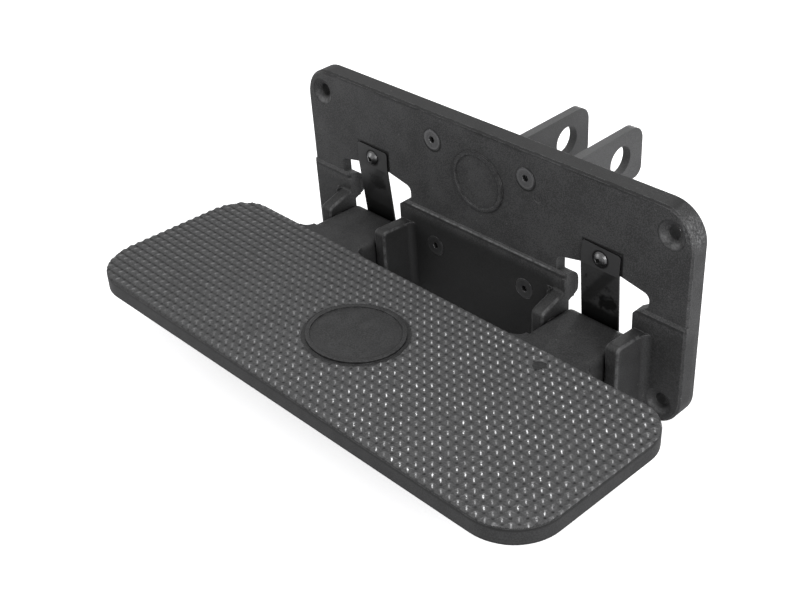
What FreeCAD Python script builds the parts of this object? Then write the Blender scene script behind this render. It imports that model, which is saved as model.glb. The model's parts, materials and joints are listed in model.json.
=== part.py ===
import FreeCAD, Part
import math
import os

# Folding rear step for a towing receiver, in millimetres.
# +X is the step's right, +Y points to the vehicle, +Z is up.
# The origin is the middle of the cross bore that takes the receiver's hitch pin.

V = FreeCAD.Vector

# Plate casting that carries everything
plate_width = 305.0
plate_height = 142.5
plate_depth = 11.6
plate_corner = 21.5
plate_edge_bevel = 1.2
plate_wall = 4.0
rim_wall = 7.0
pin_to_plate = 106.0
pin_to_plate_top = 56.0
ledge_drop = 69.7
ledge_proud = 1.3
ledge_ramp = 1.5

# Hollows behind the plate's front wall
rib_crest = 7.5
pocket_corner = 4.0
bracket_pad_margin = 8.0
corner_boss_radius = 14.0
surround_wall = 4.5
side_pocket_rise = 8.5
top_pocket_rise = 13.0
side_pocket_foot = 4.0
foot_pocket_gap = 6.0
relief_rise = 2.5
centre_pocket_half_width = 17.0
centre_pocket_from_pin = 8.0
plate_mark_x = 46.4
plate_mark_drop = 28.2
plate_mark_radius = 2.75
plate_mark_depth = 0.3

# Corner holes and the four screws of the hitch brackets
corner_hole_spacing_x = 276.4
corner_hole_spacing_z = 110.4
corner_hole_drop = 16.2
corner_hole_radius = 4.1
corner_dish_radius = 8.6
corner_dish_floor_radius = 4.6
corner_dish_depth = 2.8
corner_hole_bevel = 0.6
bracket_screw_spacing_x = 75.0
bracket_screw_spacing_z = 75.0

# Windows over the hinges and the slots below them
hinge_offset = 93.0
slot_width = 48.4
window_right_reach = 33.9
window_left_reach = 31.5
window_gable_half = 13.9
window_top_drop = 55.3
window_top_left_drop = 56.8
window_right_side_drop = 59.4
window_left_side_drop = 60.6
window_side_end_drop = 67.1
slot_start_drop = 74.0
slot_end_drop = 116.8
window_side_round = 4.5
window_shoulder_round = 2.5
slot_mouth_round = 1.5
slot_end_round = 4.0

# Hinge ears on the plate
ear_thickness = 9.7
ear_edge_round = 2.4
ear_nose_round = 3.2
ear_foot_round = 4.0
ear_throat_round = 2.0
ear_root_round = 4.5
root_overlap = 0.5
right_ear_reach = 25.9
right_ear_front_drop = 82.0
right_ear_root_drop = 83.8
left_ear_reach = 20.8
left_ear_front_drop = 88.4
left_ear_root_drop = 82.9
ear_front_end_drop = 112.0
ear_root_end_drop = 135.0
ear_into_plate = 0.5
horn_depth = 11.2
horn_upper_drop = 73.0
horn_upper_round = 8.0
horn_lower_drop = 86.5
horn_lower_round = 3.5
horn_end_drop = 91.0

# Hinge line
pivot_reach = 14.2
pivot_drop = 100.6
shoulder_radius = 4.0
shoulder_fit = 0.03
bush_running_fit = 0.05
bush_seat_fit = 0.02
bush_wall = 1.45
bush_length = 18.0
bush_flange_radius = 6.6
bush_flange_thickness = 0.55
bolt_end_bevel = 0.4
bolt_end_sunk = 0.3
bolt_socket_across = 4.0
bolt_socket_depth = 3.5
bolt_thread_radius = 2.95
bolt_thread_length = 6.2
bolt_thread_room = 0.3
bolt_seat_depth = 1.4
bolt_seat_gap = 0.1
thread_gap = 0.05

# Step platform, measured in its own tilted frame from the hinge line
tread_tilt = 2.3
platform_width = 362.0
platform_front_reach = 155.5
platform_rear_reach = 28.5
platform_thickness = 10.0
platform_front_corner = 30.5
platform_rear_corner = 25.0
platform_top_bevel = 0.9
platform_bottom_bevel = 2.6
platform_skin = 4.2
platform_rim = 6.5
platform_rib = 4.5
pocket_columns = 6
platform_pocket_corner = 5.0
tread_above_pivot = 8.0
stud_pitch = 5.72
stud_height = 1.5
stud_margin = 1.3
stud_root = 0.4

# Plain ovals on the tread and on the plate
tread_oval_forward = 90.3
tread_oval_width = 61.0
tread_oval_length = 57.0
tread_oval_band = 2.6
tread_oval_pad = 0.55
tread_bead_width = 2.4
bead_height = 0.9
plate_oval_drop = 34.0
plate_oval_width = 40.0
plate_oval_height = 39.0
plate_oval_pad = 0.35
plate_bead_width = 2.3
oval_sink = 0.5
tread_mark_x = 96.2
tread_mark_forward = 41.4
tread_mark_radius = 4.3

# Hinge lugs of the platform
lug_side_gap = 0.75
lug_tail_reach = 17.4
lug_tail_corner = 4.5
lug_tail_back_foot = 6.5
lug_tail_depth = 12.6
lug_tail_heel_reach = 13.5
lug_side_round = 4.0
lug_overlap = 4.0
lug_flare = 6.5
lug_flare_inset = 4.5
lug_flare_overlap = 2.0
heel_gap = 0.3
heel_top = 5.0
heel_depth = 25.5
heel_round = 2.5
heel_toe_reach = 5.0
heel_toe_fall = 1.5
heel_toe_round = 5.0
gusset_reach = 52.0
gusset_overlap = 1.0
gusset_start = 6.0
heel_core = 2.0

# Leaf springs on the plate and their screws
leaf_width = 27.0
leaf_thickness = 1.1
leaf_shift = 0.6
leaf_turn = {"left": 1.5, "right": 3.0}
leaf_tab_drop = 41.5
leaf_crease_drop = 56.2
leaf_bend_radius = 2.0
leaf_tail_gap = 0.6
leaf_end_below_pivot = 4.0
leaf_corner = 2.0
leaf_hole_gap = 0.2
leaf_screw_drop = 49.2
leaf_screw_radius = 2.5
leaf_screw_head_radius = 4.75
leaf_screw_head_height = 2.75
leaf_screw_socket_across = 3.0
leaf_screw_socket_depth = 1.6
leaf_screw_length = 10.0
dome_bands = 4

# Hitch brackets: two bent plates whose tongues enter the receiver
bracket_thickness = 6.0
bracket_bend_radius = 4.0
tongue_outer_width = 50.2
tongue_height = 37.0
tongue_reach_past_pin = 22.5
tongue_upper_corner = 10.5
tongue_lower_corner = 7.0
tongue_root_round = 14.0
flange_outer_reach = 49.0
flange_height = 96.0
flange_corner = 7.0
flange_straight = 8.0
flange_end_round = 8.0
flange_taper_end = 34.0
hitch_bore_radius = 10.2

# Screws, washers and nuts that clamp the brackets
screw_radius = 3.1
screw_hole_radius = 3.3
screw_head_radius = 6.75
screw_head_half_angle = 41.0
screw_head_gap = 0.12
screw_length = 28.5
screw_socket_across = 4.0
screw_socket_depth = 2.6
washer_radius = 7.9
washer_thickness = 1.6
nut_across_flats = 11.1
nut_height = 5.4
nut_collar_radius = 4.9
nut_collar_height = 2.2

# Places that follow from the sizes above
plate_front = -pin_to_plate
plate_back = plate_front + plate_depth
plate_lower_front = plate_front - ledge_proud
plate_top = pin_to_plate_top
plate_bottom = plate_top - plate_height
pivot = V(0, plate_front - pivot_reach, plate_top - pivot_drop)
lug_width = slot_width - 2 * lug_side_gap
bush_outer_radius = shoulder_radius + bush_running_fit + bush_wall
tongue_middle = tongue_outer_width / 2 - bracket_thickness / 2
hinge_sides = {"left": -hinge_offset, "right": hinge_offset}
far = 500.0
beyond = 1.0


def below_top(drop):
    return plate_top - drop


# Drawing helpers

def rounded_face(corners, to_space):
    # Closed outline of straight runs whose corners (u, v, radius) are rounded by true arcs
    flat = [V(u, v, 0) for u, v, _ in corners]
    edges = []
    joints = []
    for i, (_, _, radius) in enumerate(corners):
        corner = flat[i]
        before = (flat[i - 1] - corner).normalize()
        after = (flat[(i + 1) % len(flat)] - corner).normalize()
        if radius <= 0:
            joints.append((corner, corner, corner))
            continue
        half = before.getAngle(after) / 2
        reach = radius / math.tan(half)
        towards = (before + after).normalize()
        middle = corner + towards * (radius / math.sin(half) - radius)
        joints.append((corner + before * reach, middle, corner + after * reach))
    for i, (start, middle, end) in enumerate(joints):
        following = joints[(i + 1) % len(joints)][0]
        if (end - start).Length > 1e-6:
            edges.append(Part.Arc(to_space(start), to_space(middle), to_space(end)).toShape())
        if (following - end).Length > 1e-6:
            edges.append(Part.makeLine(to_space(end), to_space(following)))
    return Part.Face(Part.Wire(edges))


def prism_along_y(corners, y_from, y_to):
    face = rounded_face(corners, lambda p: V(p.x, y_from, p.y))
    return face.extrude(V(0, y_to - y_from, 0))


def prism_along_x(corners, x_from, x_to):
    face = rounded_face(corners, lambda p: V(x_from, p.x, p.y))
    return face.extrude(V(x_to - x_from, 0, 0))


def prism_along_z(corners, z_from, z_to):
    face = rounded_face(corners, lambda p: V(p.x, p.y, z_from))
    return face.extrude(V(0, 0, z_to - z_from))


def rectangle(u_from, u_to, v_from, v_to, radius):
    return [(u_from, v_from, radius), (u_to, v_from, radius), (u_to, v_to, radius), (u_from, v_to, radius)]


def strip_outline(path, thickness):
    # Outline of a bent strip: path points (u, v, inner radius) run along its middle
    points = [V(u, v, 0) for u, v, _ in path]
    left, right = [], []
    for i, point in enumerate(points):
        into = (point - points[i - 1]).normalize() if i > 0 else None
        out = (points[i + 1] - point).normalize() if i + 1 < len(points) else None
        into = into or out
        out = out or into
        normal_in = V(-into.y, into.x, 0)
        normal_out = V(-out.y, out.x, 0)
        across = (normal_in + normal_out).normalize()
        shift = across * (thickness / 2 / across.dot(normal_in))
        turn = into.cross(out).z
        inner = path[i][2]
        outer = inner + thickness if inner > 0 else 0
        left.append((point.x + shift.x, point.y + shift.y, inner if turn > 0 else outer))
        right.append((point.x - shift.x, point.y - shift.y, outer if turn > 0 else inner))
    return left + right[::-1]


def rod(radius, start, direction, length):
    return Part.makeCylinder(radius, length, start, direction)


def hexagon_prism(across_flats, start, direction, length):
    radius = across_flats / math.sqrt(3)
    corners = [V(radius * math.cos(math.radians(60 * i)), radius * math.sin(math.radians(60 * i)), 0)
               for i in range(6)]
    prism = Part.Face(Part.makePolygon(corners + corners[:1])).extrude(V(0, 0, length))
    prism.Placement = FreeCAD.Placement(start, FreeCAD.Rotation(V(0, 0, 1), direction))
    return prism


def turned(profile, start, direction):
    # Solid of revolution from (radius, height) points, its axis laid along direction
    points = [V(r, 0, h) for r, h in profile]
    solid = Part.Face(Part.makePolygon(points + points[:1])).revolve(V(0, 0, 0), V(0, 0, 1), 360)
    solid.Placement = FreeCAD.Placement(start, FreeCAD.Rotation(V(0, 0, 1), direction))
    return solid


def oval_prism(width, length, start, direction, height, long_axis):
    oval = Part.Ellipse(V(0, 0, 0), max(width, length) / 2, min(width, length) / 2).toShape()
    prism = Part.Face(Part.Wire([oval])).extrude(V(0, 0, height))
    if length > width:
        prism.rotate(V(0, 0, 0), V(0, 0, 1), 90)
    prism.Placement = FreeCAD.Placement(start, FreeCAD.Rotation(long_axis, V(0, 0, 1), direction, "ZXY"))
    return prism


def edges_where(shape, test):
    return [edge for edge in shape.Edges if test(edge)]


def lies_in_plane(edge, axis, value):
    box = edge.BoundBox
    spans = {"x": (box.XMin, box.XMax), "y": (box.YMin, box.YMax), "z": (box.ZMin, box.ZMax)}
    return all(abs(end - value) < 1e-4 for end in spans[axis])


# Plate casting

def plate_slab(front):
    half = plate_width / 2
    slab = prism_along_y(rectangle(-half, half, plate_bottom, plate_top, plate_corner), front, plate_back)
    return slab.makeChamfer(plate_edge_bevel, edges_where(slab, lambda e: lies_in_plane(e, "y", front)))


def plate_block():
    # Upper half flush with the front plane, lower half proud of it below a sloped ledge
    ledge = below_top(ledge_drop)
    below_ledge = prism_along_x([
        (plate_back, ledge, 0),
        (plate_front, ledge, 0),
        (plate_lower_front, ledge - ledge_ramp, 0),
        (plate_lower_front - beyond, ledge - ledge_ramp, 0),
        (plate_lower_front - beyond, plate_bottom - beyond, 0),
        (plate_back, plate_bottom - beyond, 0)], -plate_width, plate_width)
    return plate_slab(plate_front).fuse(plate_slab(plate_lower_front).common(below_ledge))


def window_cut(centre):
    # Gabled window above the slot of the hinge lug: the horn of the left ear closes its left shoulder
    slot_half = slot_width / 2
    corners = [
        (window_gable_half, window_top_drop, 0),
        (window_right_reach, window_right_side_drop, window_side_round),
        (window_right_reach, window_side_end_drop, window_shoulder_round),
        (slot_half, slot_start_drop, slot_mouth_round),
        (slot_half, slot_end_drop, slot_end_round),
        (-slot_half, slot_end_drop, slot_end_round),
        (-slot_half, slot_start_drop, 0),
        (-window_left_reach, slot_start_drop, 0),
        (-window_left_reach, window_left_side_drop, window_side_round),
        (-window_gable_half, window_top_left_drop, 0)]
    outline = [(centre + x, below_top(drop), radius) for x, drop, radius in corners]
    return prism_along_y(outline, plate_lower_front - far / 10, plate_back + beyond)


def ear_profile(reach, front_drop, root_drop, horned):
    # Side view of one ear: forward nose and, on a horned one, the rounded shoulder behind the ledge
    back = plate_front + ear_into_plate
    nose = [
        (plate_front - reach, below_top(front_drop), ear_nose_round),
        (plate_lower_front, below_top(root_drop), ear_throat_round)]
    horn = [
        (plate_lower_front, below_top(ledge_drop + ledge_ramp), 0),
        (plate_front, below_top(ledge_drop), 0),
        (plate_front + horn_depth, below_top(horn_upper_drop), horn_upper_round),
        (plate_front + horn_depth, below_top(horn_lower_drop), horn_lower_round),
        (back, below_top(horn_end_drop), 0)]
    plain = [(back, below_top(root_drop), 0)]
    foot = [
        (back, below_top(ear_root_end_drop), 0),
        (plate_lower_front, below_top(ear_root_end_drop), 0),
        (plate_front - reach, below_top(ear_front_end_drop), ear_foot_round)]
    return nose + (horn if horned else plain) + foot


def ear(x_from, outer_side, reach, front_drop, root_drop):
    # The left ears carry the horn
    profile = ear_profile(reach, front_drop, root_drop, horned=outer_side < 0)
    solid = prism_along_x(profile, x_from, x_from + ear_thickness)
    outer_x = x_from + ear_thickness if outer_side > 0 else x_from
    front = plate_lower_front - ear_root_round
    rounded = edges_where(solid, lambda e: e.BoundBox.YMax < front and
                          (lies_in_plane(e, "x", x_from) or lies_in_plane(e, "x", x_from + ear_thickness)))
    solid = solid.makeFillet(ear_edge_round, rounded)
    return solid.fuse(root_fillet(outer_x, outer_side, root_drop))


def root_fillet(x, side, root_drop):
    # Concave strip between the ear's outer face and the plate's front
    r = ear_root_round
    y = plate_lower_front
    top = below_top(root_drop)
    bottom = below_top(ear_root_end_drop)
    corner = V(x - side * root_overlap, y + root_overlap, bottom)
    beside = V(corner.x, y - r, bottom)
    below = V(x + side * r, corner.y, bottom)
    start = V(x, y - r, bottom)
    end = V(x + side * r, y, bottom)
    bend = r * (1 - math.sqrt(0.5))
    middle = V(x + side * bend, y - bend, bottom)
    edges = [Part.makeLine(corner, beside),
             Part.makeLine(beside, start),
             Part.Arc(start, middle, end).toShape(),
             Part.makeLine(end, below),
             Part.makeLine(below, corner)]
    return Part.Face(Part.Wire(edges)).extrude(V(0, 0, top - bottom))


def hinge_ears(centre):
    half = slot_width / 2
    left = ear(centre - half - ear_thickness, -1, left_ear_reach, left_ear_front_drop, left_ear_root_drop)
    right = ear(centre + half, 1, right_ear_reach, right_ear_front_drop, right_ear_root_drop)
    return [left, right]


def corner_holes():
    top_z = below_top(corner_hole_drop)
    for x in (-corner_hole_spacing_x / 2, corner_hole_spacing_x / 2):
        yield x, top_z, plate_front
        yield x, top_z - corner_hole_spacing_z, plate_lower_front


def corner_hole_cut(x, z, face):
    # Dished mouth, a narrow bevel and the straight hole
    flare = (corner_dish_radius - corner_dish_floor_radius) / corner_dish_depth
    through = plate_back + beyond - face
    profile = [(0, -beyond), (corner_dish_radius + flare * beyond, -beyond),
               (corner_dish_floor_radius, corner_dish_depth),
               (corner_hole_radius, corner_dish_depth + corner_hole_bevel),
               (corner_hole_radius, through), (0, through)]
    return turned(profile, V(x, face, z), V(0, 1, 0))


def bracket_screw_places():
    for row, sign, face in (("upper", 1, plate_front), ("lower", -1, plate_lower_front)):
        for side, direction in (("left", -1), ("right", 1)):
            yield (f"{row}_{side}", direction * bracket_screw_spacing_x / 2,
                   sign * bracket_screw_spacing_z / 2, face)


def hollow(x_from, x_to, z_from, z_to, floor):
    low, high = sorted((x_from, x_to))
    return prism_along_y(rectangle(low, high, z_from, z_to, pocket_corner), floor, plate_back + beyond)


def back_pockets():
    # Hollows behind the front wall, between the rim, the bosses and the bracket pad
    inner_half = plate_width / 2 - rim_wall
    top = plate_top - rim_wall
    bottom = plate_bottom + rim_wall
    upper_floor = plate_front + plate_wall
    lower_floor = plate_lower_front + plate_wall
    window_top = below_top(window_top_drop)
    slot_end = below_top(slot_end_drop)
    pad_half = flange_outer_reach + bracket_pad_margin
    bosses = Part.Compound([rod(corner_boss_radius, V(x, plate_front, z), V(0, 1, 0), plate_depth)
                            for x, z, _ in corner_holes()])
    pockets = []
    for centre in hinge_sides.values():
        side = math.copysign(1, centre)
        rim = side * inner_half
        pad = side * pad_half
        left = centre - window_left_reach
        right = centre + window_right_reach
        outer = right + surround_wall if side > 0 else left - surround_wall
        pockets.append(hollow(pad, rim, bottom, top, plate_front + rib_crest).cut(bosses))
        pockets.append(hollow(pad, rim, window_top + top_pocket_rise, top, upper_floor).cut(bosses))
        pockets.append(hollow(outer, rim, slot_end + side_pocket_foot, window_top + side_pocket_rise,
                              upper_floor).cut(bosses))
        pockets.append(hollow(left, right, bottom, slot_end - foot_pocket_gap, lower_floor).cut(bosses))
        pockets.append(hollow(left, right, slot_end, below_top(horn_lower_drop + relief_rise), lower_floor))
    half = centre_pocket_half_width
    pockets.append(hollow(-half, half, centre_pocket_from_pin, top, upper_floor))
    pockets.append(hollow(-half, half, bottom, -centre_pocket_from_pin, lower_floor))
    return pockets


def plate_oval():
    # Plain oval pad with a raised bead, left bare
    z = below_top(plate_oval_drop)
    forward = V(0, -1, 0)
    across = V(1, 0, 0)
    start = V(0, plate_front + oval_sink, z)
    rise = oval_sink + plate_oval_pad
    pad = oval_prism(plate_oval_width, plate_oval_height, start, forward, rise, across)
    outer = oval_prism(plate_oval_width, plate_oval_height, start, forward, rise + bead_height, across)
    inner = oval_prism(plate_oval_width - 2 * plate_bead_width, plate_oval_height - 2 * plate_bead_width,
                       start, forward, rise + bead_height + beyond, across)
    return pad.fuse(outer.cut(inner))


def mounting_plate():
    body = plate_block()
    body = body.cut(back_pockets())
    body = body.cut([window_cut(x) for x in hinge_sides.values()])
    for x in hinge_sides.values():
        body = body.fuse(hinge_ears(x))
    body = body.fuse(plate_oval())
    into_plate = V(0, 1, 0)
    across = V(1, 0, 0)
    through = plate_depth + ledge_proud + 2 * beyond
    cuts = [corner_hole_cut(x, z, face) for x, z, face in corner_holes()]
    cuts.append(rod(plate_mark_radius, V(plate_mark_x, plate_front - beyond, below_top(plate_mark_drop)),
                    into_plate, beyond + plate_mark_depth))
    for _, x, z, face in bracket_screw_places():
        cuts.append(rod(screw_hole_radius, V(x, face - beyond, z), into_plate, through))
        cuts.append(screw_cone(V(x, face, z), screw_head_gap))
    for x in hinge_sides.values():
        leaf_hole = V(x + leaf_shift, plate_front - beyond, below_top(leaf_screw_drop))
        cuts.append(rod(leaf_screw_radius, leaf_hole, into_plate, through))
        left_outer = x - slot_width / 2 - ear_thickness
        right_inner = x + slot_width / 2
        bore = shoulder_radius + shoulder_fit
        cuts.append(rod(bore, V(left_outer - beyond, pivot.y, pivot.z), across, ear_thickness + 2 * beyond))
        cuts.append(rod(bore, V(right_inner - beyond, pivot.y, pivot.z), across, beyond + bolt_seat_depth))
        cuts.append(rod(bolt_thread_radius + thread_gap, V(right_inner, pivot.y, pivot.z), across,
                        bolt_seat_depth + bolt_thread_length + bolt_thread_room))
    return body.cut(cuts).removeSplitter()


# Step platform, drawn level with the hinge line at (0, 0) and then tilted

def level_to_space(shape):
    moved = shape.copy()
    moved.rotate(V(0, 0, 0), V(-1, 0, 0), tread_tilt)
    moved.translate(pivot)
    return moved


def platform_corners(inset):
    half = platform_width / 2 - inset
    front = -platform_front_reach + inset
    rear = -platform_rear_reach - inset
    front_r = platform_front_corner - inset
    rear_r = platform_rear_corner - inset
    return [(-half, front, front_r), (half, front, front_r), (half, rear, rear_r), (-half, rear, rear_r)]


def platform_slab():
    top = tread_above_pivot
    bottom = top - platform_thickness
    slab = prism_along_z(platform_corners(0), bottom, top)
    slab = slab.makeChamfer(platform_top_bevel, edges_where(slab, lambda e: lies_in_plane(e, "z", top)))
    return slab.makeChamfer(platform_bottom_bevel, edges_where(slab, lambda e: lies_in_plane(e, "z", bottom)))


def platform_pockets():
    # Underside hollows between the skirt and a grid of ribs
    bottom = tread_above_pivot - platform_thickness
    floor = tread_above_pivot - platform_skin
    inner_half = platform_width / 2 - platform_rim
    width = (2 * inner_half - (pocket_columns - 1) * platform_rib) / pocket_columns
    front = -platform_front_reach + platform_rim
    rear = -platform_rear_reach - platform_rim
    middle = (front + rear) / 2
    rows = ((front, middle - platform_rib / 2), (middle + platform_rib / 2, rear))
    outline = prism_along_z(platform_corners(platform_rim), bottom - beyond, floor)
    pockets = []
    for i in range(pocket_columns):
        x = -inner_half + i * (width + platform_rib)
        for y_from, y_to in rows:
            cell = rectangle(x, x + width, y_from, y_to, platform_pocket_corner)
            cell = prism_along_z(cell, bottom - beyond, floor)
            pockets.append(cell.common(outline))
    return pockets


def stud_ridges(count, low, high, along_x):
    # Saw-tooth sheet whose ridges run along one axis
    start = -count * stud_pitch / 2
    base = tread_above_pivot
    profile = [(start, base - stud_root)]
    for i in range(count):
        profile.append((start + i * stud_pitch, base))
        profile.append((start + (i + 0.5) * stud_pitch, base + stud_height))
    profile += [(start + count * stud_pitch, base), (start + count * stud_pitch, base - stud_root)]
    if along_x:
        points = [V(low, u, v) for u, v in profile]
        length = V(high - low, 0, 0)
    else:
        points = [V(u, low, v) for u, v in profile]
        length = V(0, high - low, 0)
    return Part.Face(Part.makePolygon(points + points[:1])).extrude(length)


def tread_studs():
    # Rows of small pyramids: two crossing sets of ridges keep only what both share
    middle = -(platform_front_reach + platform_rear_reach) / 2
    depth = platform_front_reach - platform_rear_reach
    columns = 2 * math.ceil(platform_width / 2 / stud_pitch)
    rows = math.ceil(depth / stud_pitch) + 1
    across = stud_ridges(columns, middle - depth, middle + depth, along_x=False)
    up = V(0, 0, 1)
    low = tread_above_pivot - platform_thickness
    tall = 2 * platform_thickness
    outline = prism_along_z(platform_corners(stud_margin), low, low + tall)
    clear_oval = oval_prism(tread_oval_width + 2 * tread_oval_band, tread_oval_length + 2 * tread_oval_band,
                            V(0, -tread_oval_forward, low), up, tall, V(1, 0, 0))
    mark = rod(tread_mark_radius, V(tread_mark_x, -tread_mark_forward, low), up, tall)
    across = across.common(outline).cut([clear_oval, mark])
    along = stud_ridges(rows, -platform_width, platform_width, along_x=True)
    along.translate(V(0, middle, 0))
    return across.common(along)


def tread_oval():
    up = V(0, 0, 1)
    across = V(1, 0, 0)
    start = V(0, -tread_oval_forward, tread_above_pivot - oval_sink)
    rise = oval_sink + tread_oval_pad
    pad = oval_prism(tread_oval_width, tread_oval_length, start, up, rise, across)
    outer = oval_prism(tread_oval_width, tread_oval_length, start, up, rise + bead_height, across)
    inner = oval_prism(tread_oval_width - 2 * tread_bead_width, tread_oval_length - 2 * tread_bead_width,
                       start, up, rise + bead_height + beyond, across)
    return pad.fuse(outer.cut(inner))


def lug_tail(centre):
    # Flat-backed tongue that runs from the platform through the slot, on its rounded sides
    half = lug_width / 2
    top = tread_above_pivot
    start = -platform_rear_reach - lug_overlap
    tail = prism_along_x([
        (start, top, 0),
        (lug_tail_reach, top, lug_tail_corner),
        (lug_tail_reach, -lug_tail_back_foot, 0),
        (lug_tail_heel_reach, -lug_tail_depth, 0),
        (start, -lug_tail_depth, 0)], centre - half, centre + half)
    side = [centre - half, centre + half]
    rounded = edges_where(tail, lambda e: any(lies_in_plane(e, "x", x) for x in side)
                          and e.BoundBox.ZMax > 0 and not lies_in_plane(e, "y", start))
    return tail.makeFillet(lug_side_round, rounded)


def lug_flares(centre):
    # Concave roots where the lug's sides meet the platform's rear edge
    half = lug_width / 2
    r = lug_flare
    rear = -platform_rear_reach
    low = tread_above_pivot - platform_thickness + platform_bottom_bevel
    back = rear - lug_flare_overlap
    bend = r * (1 - math.sqrt(0.5))
    pieces = []
    for side in (-1, 1):
        x = centre + side * half
        inner = x - side * lug_flare_inset
        outer = x + side * r
        start = V(x, rear + r, low)
        middle = V(x + side * bend, rear + bend, low)
        end = V(outer, rear, low)
        edges = [Part.makeLine(V(inner, back, low), V(inner, rear + r, low)),
                 Part.makeLine(V(inner, rear + r, low), start),
                 Part.Arc(start, middle, end).toShape(),
                 Part.makeLine(end, V(outer, back, low)),
                 Part.makeLine(V(outer, back, low), V(inner, back, low))]
        pieces.append(Part.Face(Part.Wire(edges)).extrude(V(0, 0, tread_above_pivot - low)))
    return pieces


def lug_heel(centre):
    # Upright stop below the slot, drawn in place so that its back stands parallel to the plate
    half = lug_width / 2
    back = plate_lower_front - heel_gap
    underside = pivot.z + tread_above_pivot - platform_skin
    return prism_along_x([
        (back, pivot.z - heel_top, 0),
        (back, pivot.z - heel_depth, heel_round),
        (pivot.y + heel_toe_reach, pivot.z - heel_depth - heel_toe_fall, heel_toe_round),
        (pivot.y - gusset_reach, underside - gusset_overlap, 0),
        (pivot.y - platform_rear_reach - gusset_start, underside, 0),
        (pivot.y - heel_core, pivot.z - heel_core, 0)], centre - half, centre + half)


def step_platform():
    slab = platform_slab().cut(platform_pockets())
    pieces = []
    heels = []
    for x in hinge_sides.values():
        pieces += [lug_tail(x)] + lug_flares(x)
        heels.append(lug_heel(x))
    body = slab.fuse(pieces)
    body = body.fuse([tread_oval(), tread_studs()])
    body = level_to_space(body).fuse(heels)
    seat = bush_outer_radius + bush_seat_fit
    bores = [rod(seat, V(x - lug_width, pivot.y, pivot.z), V(1, 0, 0), 2 * lug_width)
             for x in hinge_sides.values()]
    return body.cut(bores).removeSplitter()


# Hinge hardware

def hinge_bolt(centre):
    # Headless pivot from the left ear's outer face, screwed into the blind thread of the right ear
    across = V(1, 0, 0)
    start = V(centre - slot_width / 2 - ear_thickness + bolt_end_sunk, pivot.y, pivot.z)
    shoulder = ear_thickness + slot_width + bolt_seat_depth - bolt_seat_gap - bolt_end_sunk
    profile = [
        (0, 0), (shoulder_radius - bolt_end_bevel, 0), (shoulder_radius, bolt_end_bevel),
        (shoulder_radius, shoulder), (bolt_thread_radius, shoulder),
        (bolt_thread_radius, shoulder + bolt_thread_length), (0, shoulder + bolt_thread_length)]
    bolt = turned(profile, start, across)
    socket = hexagon_prism(bolt_socket_across, start - across * beyond, across, bolt_socket_depth + beyond)
    return bolt.cut(socket)


def hinge_bush(centre, side):
    # Flanged bearing sleeve pressed into one side of a lug
    outward = V(side, 0, 0)
    face = centre + side * lug_width / 2
    start = V(face - side * bush_length, pivot.y, pivot.z)
    inner = shoulder_radius + bush_running_fit
    profile = [(inner, 0), (bush_outer_radius, 0), (bush_outer_radius, bush_length),
               (bush_flange_radius, bush_length), (bush_flange_radius, bush_length + bush_flange_thickness),
               (inner, bush_length + bush_flange_thickness)]
    return turned(profile, start, outward)


# Leaf springs

def leaf_spring(centre, turn):
    # Tab on the plate's face, crease at the window's top, and a blade down to the lug's tail
    t = leaf_thickness
    corner_above = tread_above_pivot - lug_tail_corner
    swing = math.hypot(lug_tail_reach - lug_tail_corner, corner_above) + lug_tail_corner
    clear = swing + leaf_tail_gap
    blade_y = pivot.y + clear + t / 2
    bend_above = corner_above + lug_tail_corner / 2
    bend_y = pivot.y + math.sqrt(clear ** 2 - bend_above ** 2) + t / 2
    end = pivot.z - leaf_end_below_pivot
    top = below_top(leaf_tab_drop)
    path = [
        (plate_front - t / 2, top, 0),
        (plate_front - t / 2, below_top(leaf_crease_drop), leaf_bend_radius),
        (bend_y, pivot.z + bend_above, leaf_bend_radius),
        (blade_y, pivot.z, leaf_bend_radius),
        (blade_y, end, 0)]
    half = leaf_width / 2
    x = centre + leaf_shift
    leaf = prism_along_x(strip_outline(path, t), x - half, x + half)
    corners = edges_where(leaf, lambda e: e.BoundBox.XLength < 1e-4 and e.BoundBox.ZLength < 1e-4 and
                          (abs(e.BoundBox.ZMin - top) < 1e-4 or abs(e.BoundBox.ZMin - end) < 1e-4))
    leaf = leaf.makeFillet(leaf_corner, corners)
    screw_at = V(x, plate_front - t - beyond, below_top(leaf_screw_drop))
    leaf = leaf.cut(rod(leaf_screw_radius + leaf_hole_gap, screw_at, V(0, 1, 0), t + 2 * beyond))
    leaf.rotate(screw_at, V(0, 1, 0), turn)
    return leaf


def leaf_screw(centre):
    # Button-head screw on the tab, its dome a stack of cone bands
    r = leaf_screw_head_radius
    h = leaf_screw_head_height
    dome = (r ** 2 + h ** 2) / (2 * h)
    whole = math.asin(r / dome)
    angles = [whole * i / dome_bands for i in range(dome_bands + 1)]
    profile = [(0, 0)]
    profile += [(dome * math.sin(a), h - dome + dome * math.cos(a)) for a in reversed(angles)]
    seat = V(centre + leaf_shift, plate_front - leaf_thickness, below_top(leaf_screw_drop))
    outward = V(0, -1, 0)
    shank = rod(leaf_screw_radius - thread_gap, seat + outward * beyond, -outward, leaf_screw_length + beyond)
    socket = hexagon_prism(leaf_screw_socket_across, seat + outward * (h + beyond), -outward,
                           leaf_screw_socket_depth + beyond)
    return turned(profile, seat, outward).fuse(shank).cut(socket)


# Hitch brackets and their fasteners

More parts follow.
